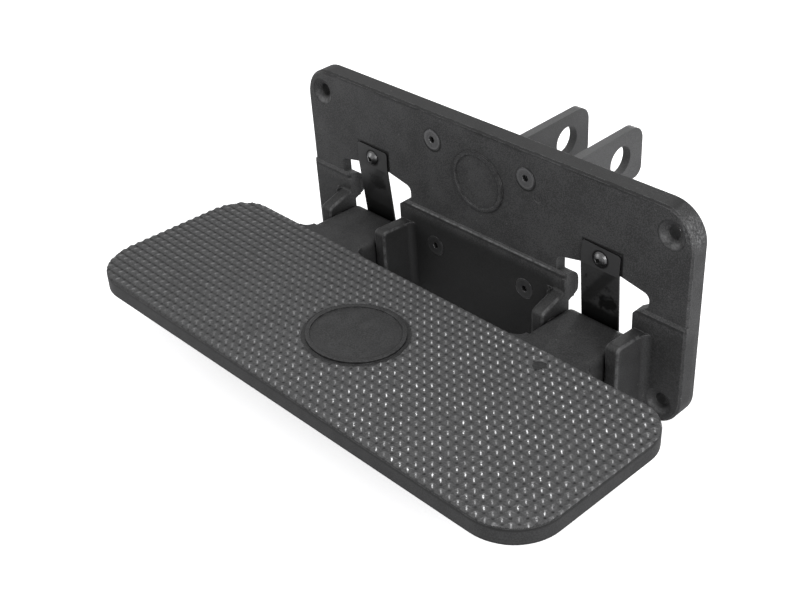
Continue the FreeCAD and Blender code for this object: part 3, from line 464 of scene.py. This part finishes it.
def leafMarks(tree, colour, values):
    # A dusty tab, dark cut edges, and soft dark patches on the blade that are oil marks and painted
    # reflection
    size = {name: value * mm for name, value in leafValues.items() if isinstance(value, float)}
    x, _, z = axes(tree, coordinate(tree))
    sideways = leafPlace(tree, x)
    onLeft = ranged(tree, x, -size["leftFade"], size["leftFade"], 1.0, 0.0)
    tab = ranged(tree, z, size["crease"] - size["creaseFade"], size["crease"] + size["creaseFade"])
    colour = mixColours(tree, maths(tree, "MULTIPLY", tab, leafValues["tabDust"]), colour,
                        grey(leafValues["tabTone"]))

    # A slanted smear from the crease down, and a patch that sits higher on the left blade
    slanted = maths(tree, "MULTIPLY", maths(tree, "ADD", z, size["smearHeight"]), leafValues["smearSlope"])
    smear = band(tree, maths(tree, "ADD", sideways, slanted), 0.0, size["smearCore"], size["smearReach"],
                 leafValues["smear"])
    patchX, patchZ = (value * mm for value in leafValues["patch"])
    patchHeight = maths(tree, "ADD", maths(tree, "MULTIPLY", onLeft, size["leftPatchRise"]), patchZ)
    fromPatch = ovalDistance(tree, sideways, z, (patchX, patchHeight), leafValues["patchReach"])
    lift = ranged(tree, fromPatch, *leafValues["patchFade"], leafValues["patchLift"], 0.0)
    blotches = objectNoise(tree, scale=95.0, detail=4.0, roughness=0.7, distortion=0.4)
    film = ranged(tree, maths(tree, "ADD", blotches, lift), *leafValues["filmFade"])

    # The wavy dark foot, and the left blade's shaded lower half
    wave = maths(tree, "MULTIPLY", objectNoise(tree, scale=120.0, detail=3.0), size["bottomWave"])
    foot = ranged(tree, maths(tree, "ADD", z, wave), size["bottom"], size["bottom"] + size["bottomFade"],
                  1.0, 0.0)
    shadeLow, shadeHigh = (value * mm for value in leafValues["leftShade"])
    shade = maths(tree, "MULTIPLY", onLeft,
                  ranged(tree, z, shadeLow, shadeHigh, leafValues["leftShadeTone"], 0.0))
    oilShadeAndReflection = maths(tree, "MULTIPLY", maths(tree, "MAXIMUM", film, foot, shade, smear),
                maths(tree, "SUBTRACT", 1.0, tab), values["oilShadeAndReflection"])

    # Painted shadow in a ring round the screw head on the tab
    fromScrew = flatDistance(tree, sideways, maths(tree, "SUBTRACT", z, size["screw"]))
    ring = band(tree, fromScrew, size["ringRadius"], size["ringCore"], size["ringReach"], leafValues["ring"])
    facing = maths(tree, "ABSOLUTE", axes(tree, surfaceNormal(tree))[1])
    cut = ranged(tree, facing, *leafValues["cutFacing"], 1.0, 0.0)
    return mixColours(tree, maths(tree, "MAXIMUM", oilShadeAndReflection, ring, cut), colour, grey(values["grimeAndShade"]))


# The tread's rim: turned is in millimetres above its lowest edge, topmost below the slab's top
rimValues = {"turned": (1.9, 5.1), "topmost": (3.8, 1.4), "topmostTone": 0.90, "rearFade": 1.0,
             "upright": (0.4, 0.9)}


def rimMarks(tree, colour, values):
    # Painted shade on the tread's upright faces, most just below the studs and where the rim turns under
    place = coordinate(tree)
    rearward, height = (maths(tree, "ADD", vectorMaths(tree, "DOT_PRODUCT", place, row.xyz), row.w)
                        for row in toLevel[1:3])
    turnedLow, turnedHigh = ((tread["bottom"] + value) * mm for value in rimValues["turned"])
    topLow, topHigh = ((tread["above"] - value) * mm for value in rimValues["topmost"])
    shade = maths(tree, "MULTIPLY",
                  maths(tree, "MAXIMUM", ranged(tree, height, turnedLow, turnedHigh, 1.0, 0.0),
                        ranged(tree, height, topLow, topHigh, 0.0, rimValues["topmostTone"])),
                  ranged(tree, rearward, tread["rear"] * mm, (tread["rear"] + rimValues["rearFade"]) * mm,
                         1.0, 0.0))
    upward = maths(tree, "ABSOLUTE", axes(tree, coordinate(tree, "Normal"))[2])
    upright = ranged(tree, upward, *rimValues["upright"], 1.0, 0.0)
    shade = maths(tree, "MULTIPLY", maths(tree, "MAXIMUM", shade, values["sides"]), upright)
    return mixColours(tree, shade, colour, grey(values["grimeAndShade"]))


groups = {
    "grain": makeGrainGroup(),
    "edge": makeEdgeGroup(),
    "dirt": makeDirtGroup(),
    "grimeAndShade": makeRecessShadeGroup(),
    "studs": makeStudPatternGroup(),
    "marks": makePlateMarksGroup(),
}
print("shared effects ready")


# Finishes

finishes = {
    "plateCoat": {
        "base": 0.0255, "pale": 0.055, "wornAndHighlight": 0.21, "dust": 0.060, "grimeAndShade": 0.006, "roughness": 0.58,
        "polish": 0.32, "specular": 0.25, "bump": 0.65, "depth": 0.4, "fineness": 1300.0,
        "unevenness": 60.0, "edge": 0.8, "wear": 0.42, "reach": 9.0, "closeness": 0.85, "patches": 16.0,
        # scuff also scales the painted highlights on the plate's ledge, dishes and ears' edges
        "specks": 0.2, "metal": 0.0, "lines": 0.55, "scuff": 0.8, "rings": 1.0},
    "treadCoat": {
        "base": 0.0205, "pale": 0.040, "wornAndHighlight": 0.13, "dust": 0.05, "grimeAndShade": 0.006, "roughness": 0.58,
        "polish": 0.36, "specular": 0.22, "bump": 0.60, "depth": 0.4, "fineness": 1300.0,
        "unevenness": 110.0, "edge": 0.8, "wear": 0.42, "reach": 9.0, "closeness": 0.80, "patches": 12.0,
        "specks": 0.4, "metal": 0.0, "sides": 0.30},
    "studCoat": {
        "base": 0.048, "pale": 0.070, "wornAndHighlight": 0.32, "dust": 0.076, "grimeAndShade": 0.012, "roughness": 0.55,
        "polish": 0.32, "specular": 0.16, "bump": 0.35, "depth": 0.3, "fineness": 1300.0,
        "unevenness": 90.0, "edge": 0.3, "wear": 0.0, "patches": 12.0, "specks": 0.3, "studded": True},
    "bracketCoat": {
        "base": 0.059, "pale": 0.081, "wornAndHighlight": 0.15, "dust": 0.10, "grimeAndShade": 0.02, "roughness": 0.58,
        "polish": 0.42, "specular": 0.35, "bump": 0.15, "depth": 0.2, "fineness": 1300.0,
        "unevenness": 40.0, "edge": 0.6, "wear": 0.5, "reach": 12.0, "closeness": 0.5, "patches": 20.0,
        "specks": 0.2, "metal": 0.0},
    "screwSteel": {
        "base": 0.115, "pale": 0.155, "wornAndHighlight": 0.26, "dust": 0.12, "grimeAndShade": 0.012, "roughness": 0.46,
        "polish": 0.32, "specular": 0.5, "bump": 0.10, "depth": 0.1, "fineness": 2600.0,
        "unevenness": 220.0, "edge": 0.3, "wear": 0.7, "reach": 2.5, "closeness": 0.8, "patches": 60.0,
        "specks": 0.0, "metal": 0.85, "flatHead": True},
    "springSteel": {
        "base": 0.028, "pale": 0.036, "wornAndHighlight": 0.06, "dust": 0.04, "grimeAndShade": 0.0015, "roughness": 0.34,
        "polish": 0.26, "specular": 0.30, "bump": 0.04, "depth": 0.1, "fineness": 600.0,
        "unevenness": 70.0, "edge": 0.2, "wear": 0.6, "reach": 4.0, "closeness": 0.9, "patches": 40.0,
        "specks": 0.0, "metal": 0.0, "oilShadeAndReflection": 0.95},
    "brightSteel": {
        "base": 0.085, "pale": 0.15, "wornAndHighlight": 0.26, "dust": 0.09, "grimeAndShade": 0.006, "roughness": 0.30,
        "polish": 0.24, "specular": 0.5, "bump": 0.02, "depth": 0.1, "fineness": 2400.0,
        "unevenness": 300.0, "edge": 0.3, "wear": 0.4, "reach": 2.5, "closeness": 1.0, "patches": 80.0,
        "specks": 0.0, "metal": 1.0},
    "hingeSteel": {
        "base": 0.15, "pale": 0.20, "wornAndHighlight": 0.26, "dust": 0.12, "grimeAndShade": 0.02, "roughness": 0.42,
        "polish": 0.32, "specular": 0.5, "bump": 0.03, "depth": 0.1, "fineness": 2000.0,
        "unevenness": 160.0, "edge": 0.3, "wear": 0.4, "reach": 2.0, "closeness": 0.8, "patches": 60.0,
        "specks": 0.0, "metal": 0.9},
    "bushPlastic": {
        "base": 0.020, "pale": 0.030, "wornAndHighlight": 0.045, "dust": 0.04, "grimeAndShade": 0.01, "roughness": 0.58,
        "polish": 0.50, "specular": 0.4, "bump": 0.03, "depth": 0.1, "fineness": 1800.0,
        "unevenness": 120.0, "edge": 0.3, "wear": 0.2, "reach": 2.0, "closeness": 0.5, "patches": 50.0,
        "specks": 0.0, "metal": 0.0},
}

finishOf = {
    "mounting_plate": "plateCoat",
    "step_platform": "treadCoat",
    "hitch_bracket": "bracketCoat",
    "bracket_screw": "screwSteel",
    "bracket_washer": "screwSteel",
    "bracket_nut": "screwSteel",
    "leaf_spring": "springSteel",
    "leaf_screw": "brightSteel",
    "hinge_bolt": "hingeSteel",
    "hinge_bush": "bushPlastic",
}

# What every finish shares: how the two coat tones part, how thick the dust is, how stud rubbing and painted
# highlights break up
mixing = {"mottle": (0.40, 0.60), "dust": 0.22, "breakScale": 900.0, "breaks": (0.30, 0.54)}


def placeGroup(tree, name, **inputs):
    return addNode(tree, "ShaderNodeGroup", {"node_tree": groups[name]}, **inputs).outputs


def makeFinish(name, values):
    material = bpy.data.materials.new(name)
    material.use_nodes = True
    tree = material.node_tree
    shader = tree.nodes["Principled BSDF"]
    grain = placeGroup(tree, "grain", Fineness=values["fineness"], Unevenness=values["unevenness"])
    edge = placeGroup(tree, "edge", Radius=values["edge"] * mm, Amount=values["wear"])
    dirt = placeGroup(tree, "dirt", Patches=values["patches"], Specks=values["specks"])
    if values.get("studded"):  # tips rubbed down to the metal, painted highlights on the ridges, and painted shade between the studs
        pattern = placeGroup(tree, "studs",
                             **{"Ridge Width": studWearHighlightAndShade["ridgeWidth"], "Least": studWearHighlightAndShade["least"]})
        breaks = ranged(tree, objectNoise(tree, scale=mixing["breakScale"], detail=3.0), *mixing["breaks"])
        wornAndHighlight = maths(tree, "MULTIPLY", pattern["RubbedAndHighlight"], breaks)
        closed = pattern["Low"]
    else:
        wornAndHighlight = edge["Mask"]
        # Painted shade where neighbouring faces close a place in
        closed = placeGroup(tree, "grimeAndShade", Reach=values["reach"] * mm, Amount=values["closeness"])["Mask"]

    colour = mixColours(tree, ranged(tree, grain["Mottle"], *mixing["mottle"]), grey(values["base"]),
                        grey(values["pale"]))
    colour = mixColours(tree, maths(tree, "MULTIPLY", dirt["Dust"], mixing["dust"]), colour,
                        grey(values["dust"]))
    # Painted shade: in recesses on most finishes, in the hollows and between the rows on the studs
    colour = mixColours(tree, closed, colour, grey(values["grimeAndShade"]))
    # Painted shade on the tread's rim
    if "sides" in values:
        colour = rimMarks(tree, colour, values)
    if "lines" in values:
        marks = placeGroup(tree, "marks", Lines=values["lines"], Scuff=values["scuff"], Rings=values["rings"])
        # Painted shade and shadows on the plate, with the dark lines at its top edge and round the dishes
        colour = mixColours(tree, marks["Dark"], colour, grey(values["grimeAndShade"]))
        # Painted highlights on the ledge, in the dishes and on the ears' edges, with the scuffed corner
        wornAndHighlight = maths(tree, "MAXIMUM", wornAndHighlight, marks["RubbedAndHighlight"])
    if "oilShadeAndReflection" in values:
        colour = leafMarks(tree, colour, values)
    if values.get("flatHead"):
        colour = headMarks(tree, colour, values)
    colour = mixColours(tree, dirt["Speck"], colour, grey(values["wornAndHighlight"]))
    # The rubbed coat and the painted highlights take the pale worn tone
    colour = mixColours(tree, wornAndHighlight, colour, grey(values["wornAndHighlight"]))

    rough = addNode(tree, "ShaderNodeMapRange", i0=wornAndHighlight, i3=values["roughness"], i4=values["polish"])
    bump = addNode(tree, "ShaderNodeBump", Strength=values["bump"], Distance=values["depth"] * mm,
                   Height=grain["Height"], Normal=edge["Normal"])
    tree.links.new(colour, shader.inputs["Base Color"])
    tree.links.new(rough.outputs[0], shader.inputs["Roughness"])
    tree.links.new(bump.outputs[0], shader.inputs["Normal"])
    if values.get("studded"):
        tree.links.new(wornAndHighlight, shader.inputs["Metallic"])
    else:
        shader.inputs["Metallic"].default_value = values["metal"]
    shader.inputs["Specular IOR Level"].default_value = values["specular"]
    return material


materials = {name: makeFinish(name, values) for name, values in finishes.items()}


def paint(piece, finish):
    piece.data.materials.clear()
    piece.data.materials.append(materials[finish])


for nodeName, node in nodes.items():
    for start, finish in finishOf.items():
        if nodeName.startswith(start):
            paint(node, finish)
print("finishes on", len(nodes), "solids")


# Studded tread

def insideOutline(x, y, inset):
    # Rounded rectangle with larger corners at the front
    half = tread["halfWidth"] - inset
    front = tread["front"] + inset
    rear = tread["rear"] - inset
    if abs(x) > half or y < front or y > rear:
        return False
    ends = ((front, tread["frontCorner"] - inset, 1), (rear, tread["rearCorner"] - inset, -1))
    for edge, radius, away in ends:
        dx = abs(x) - (half - radius)
        dy = (edge + away * radius - y) * away
        if dx > 0 and dy > 0 and math.hypot(dx, dy) > radius:
            return False
    return True


def ovalReach(x, y, grow):
    return math.hypot(x / (tread["ovalHalfWidth"] + grow),
                      (y + tread["ovalForward"]) / (tread["ovalHalfLength"] + grow))


def isBare(x, y):
    # Outside the slab's edge, in the oval or on the small round mark
    return (not insideOutline(x, y, tread["margin"]) or ovalReach(x, y, tread["ovalBand"]) < 1
            or math.hypot(x - tread["markX"], y + tread["markForward"]) < tread["markRadius"])


def acrossStud(x, y):
    # Which stud, and how far up its two pairs of sides, from 0 in the valley to 1 at the middle
    column = x / tread["pitch"]
    row = (y - tread["middle"]) / tread["pitch"] + 0.5 * (tread["rows"] % 2)
    stud = (math.floor(column), math.floor(row))
    return stud, 1 - 2 * abs(column - stud[0] - 0.5), 1 - 2 * abs(row - stud[1] - 0.5)


def studHeight(upColumn, upRow, lift):
    # Four-sided pyramids whose ridges and tips are softened as on a casting
    soft = tread["soft"]
    apart = abs(upColumn - upRow)
    near = max(soft - apart, 0.0) / soft
    height = min(upColumn, upRow) - near * near * soft / 4
    height += tread["saddle"] * apart * (1 - height)
    start = tread["roundFrom"]
    if height > start:
        height = start + (1 - start) * math.tanh((height - start) / (1 - start)) * tread["roundLeft"]
    return tread["height"] * height * lift


def makeStuds():
    step = tread["pitch"] / tread["steps"]
    random.seed(tread["seed"])
    places = range(-tread["mostStuds"], tread["mostStuds"] + 1)
    lifts = {(i, j): 1 + random.uniform(-tread["uneven"], 0.0) for i in places for j in places}
    columnsHalf = math.ceil(tread["halfWidth"] / step)
    rowsHalf = math.ceil((tread["rear"] - tread["front"]) / 2 / step)
    points = {}
    vertices = []
    faces = []

    def pointAt(i, j):
        if (i, j) not in points:
            x = i * step
            y = tread["middle"] + j * step
            bare = isBare(x, y)
            stud, upColumn, upRow = acrossStud(x, y)
            z = -tread["sink"] if bare else studHeight(upColumn, upRow, lifts[stud])
            points[(i, j)] = (len(vertices), bare)
            vertices.append(toSpace @ (Vector((x, y, tread["above"] + z)) * mm))
        return points[(i, j)]

    for i in range(-columnsHalf, columnsHalf):
        for j in range(-rowsHalf, rowsHalf):
            corners = [pointAt(i, j), pointAt(i + 1, j), pointAt(i + 1, j + 1), pointAt(i, j + 1)]
            if not all(bare for _, bare in corners):
                faces.append([index for index, _ in corners])
    mesh = bpy.data.meshes.new("treadStuds")
    mesh.from_pydata(vertices, [], faces)
    studs = bpy.data.objects.new("treadStuds", mesh)
    bpy.context.scene.collection.objects.link(studs)
    edit = bmesh.new()
    edit.from_mesh(mesh)
    loose = [vertex for vertex in edit.verts if not vertex.link_faces]
    bmesh.ops.delete(edit, geom=loose, context="VERTS")
    for face in edit.faces:
        face.smooth = True
    edit.to_mesh(mesh)
    edit.free()
    return studs


def makePlatformBody():
    # The casting without its studs, which the finer stud field takes over, and with a deeper rim
    body = bpy.data.objects.new("platformBody", nodes["step_platform"].data.copy())
    bpy.context.scene.collection.objects.link(body)
    edit = bmesh.new()
    edit.from_mesh(body.data)
    level = tread["above"] + tread["trim"]
    gone = []
    for face in edit.faces:
        top = max((toLevel @ vertex.co / mm).z for vertex in face.verts)
        centre = toLevel @ face.calc_center_median() / mm
        if top > level and ovalReach(centre.x, centre.y, tread["ovalKept"]) > 1:
            gone.append(face)
    bmesh.ops.delete(edit, geom=gone, context="FACES")
    for vertex in edit.verts:  # rim and ribs reach lower, as deep as the photograph shows the rim
        place = toLevel @ vertex.co / mm
        if place.z < tread["skirtFrom"] and place.y < tread["rear"] + tread["slack"]:
            vertex.co.z -= tread["skirt"] * mm
    edit.to_mesh(body.data)
    edit.free()
    return body


studs = makeStuds()
body = makePlatformBody()
for piece, finish in ((studs, "studCoat"), (body, "treadCoat")):
    paint(piece, finish)
    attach(piece, "step")
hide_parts("step_platform")
print("tread built", len(studs.data.polygons), "faces in the studs")


# Floor, light and camera

floorValues = {"drop": 0.3, "size": 9.0, "seen": 0.85, "bounce": 0.95, "roughness": 0.9, "lift": 0.66,
               "mirroredLift": 0.10}

lightValues = {
    "world": 0.36,
    "lamps": [
        # name, place (m), aimed at (m), size (m), watts
        ("windowLeft", (-1.5, -1.7, 0.7), (0.0, -0.12, 0.0), 1.2, 12.5),
        ("ceiling", (-0.15, 0.10, 1.95), (0.0, -0.16, 0.0), 0.8, 16.0),
        ("behind", (-0.7, 1.9, 0.10), (0.0, -0.08, -0.02), 0.5, 18.0),
        ("farSide", (1.6, -0.7, 0.8), (0.0, -0.1, 0.0), 0.9, 25.0),
    ],
}

# Fitted to the photograph, in millimetres and degrees
camera = {
    "place": (451.8, -576.5, 387.4),
    "azimuth": 48.08,
    "elevation": 34.67,
    "roll": -4.07,
    "lens": 55.51,
    "sensor": 36.0,
}


def seenDirectly(tree):
    # Camera rays, and those that a mirror or a clear piece sends on
    rays = addNode(tree, "ShaderNodeLightPath").outputs
    return rays["Is Camera Ray"], maths(tree, "MAXIMUM", rays["Is Camera Ray"], rays["Is Glossy Ray"],
                                        rays["Is Transmission Ray"])


def makeFloor():
    low = cadLow.z - floorValues["drop"] * mm
    half = floorValues["size"] / 2
    mesh = bpy.data.meshes.new("floor")
    mesh.from_pydata([(-half, -half, low), (half, -half, low), (half, half, low), (-half, half, low)], [],
                     [(0, 1, 2, 3)])
    floor = bpy.data.objects.new("floor", mesh)
    bpy.context.scene.collection.objects.link(floor)
    material = bpy.data.materials.new("paleFloor")
    material.use_nodes = True
    tree = material.node_tree
    shader = tree.nodes["Principled BSDF"]
    byCamera, seen = seenDirectly(tree)
    tree.links.new(mixColours(tree, seen, grey(floorValues["bounce"]), grey(floorValues["seen"])),
                   shader.inputs["Base Color"])
    shader.inputs["Roughness"].default_value = floorValues["roughness"]
    shader.inputs["Specular IOR Level"].default_value = 0.0
    shader.inputs["Emission Color"].default_value = (1.0, 1.0, 1.0, 1.0)
    lift = maths(tree, "MAXIMUM", maths(tree, "MULTIPLY", byCamera, floorValues["lift"]),
                 maths(tree, "MULTIPLY", seen, floorValues["mirroredLift"]))
    tree.links.new(lift, shader.inputs["Emission Strength"])
    floor.data.materials.append(material)


def makeWorld():
    world = bpy.data.worlds.new("studio")
    world.use_nodes = True
    bpy.context.scene.world = world
    tree = world.node_tree
    background = tree.nodes["Background"]
    strength = addNode(tree, "ShaderNodeMapRange", i0=seenDirectly(tree)[1], i3=lightValues["world"], i4=1.0)
    tree.links.new(strength.outputs[0], background.inputs["Strength"])
    background.inputs["Color"].default_value = (1.0, 1.0, 1.0, 1.0)


def makeLamps():
    for name, place, aim, size, watts in lightValues["lamps"]:
        lamp = bpy.data.lights.new(name, "AREA")
        lamp.energy = watts
        lamp.size = size
        holder = bpy.data.objects.new(name, lamp)
        bpy.context.scene.collection.objects.link(holder)
        holder.location = place
        holder.rotation_mode = "QUATERNION"
        holder.rotation_quaternion = (Vector(aim) - Vector(place)).to_track_quat("-Z", "Y")


def makeCamera():
    azimuth, elevation, roll = (math.radians(camera[key]) for key in ("azimuth", "elevation", "roll"))
    back = Vector((math.sin(azimuth) * math.cos(elevation), -math.cos(azimuth) * math.cos(elevation),
                   math.sin(elevation)))
    right = (-back).cross(Vector((0.0, 0.0, 1.0))).normalized()
    up = right.cross(-back)
    rolledRight = math.cos(roll) * right + math.sin(roll) * up
    rolledUp = math.cos(roll) * up - math.sin(roll) * right
    turned = Matrix((rolledRight, rolledUp, back)).transposed().to_4x4()
    turned.translation = Vector(camera["place"]) * mm
    holder = bpy.data.objects.new("photoCamera", bpy.data.cameras.new("photoCamera"))
    bpy.context.scene.collection.objects.link(holder)
    holder.matrix_world = turned
    holder.data.lens = camera["lens"]
    holder.data.sensor_width = camera["sensor"]
    holder.data.clip_start = 0.01
    bpy.context.scene.camera = holder


makeFloor()
makeWorld()
makeLamps()
makeCamera()
bpy.context.scene.view_settings.view_transform = "Standard"
print("floor, light and camera set")
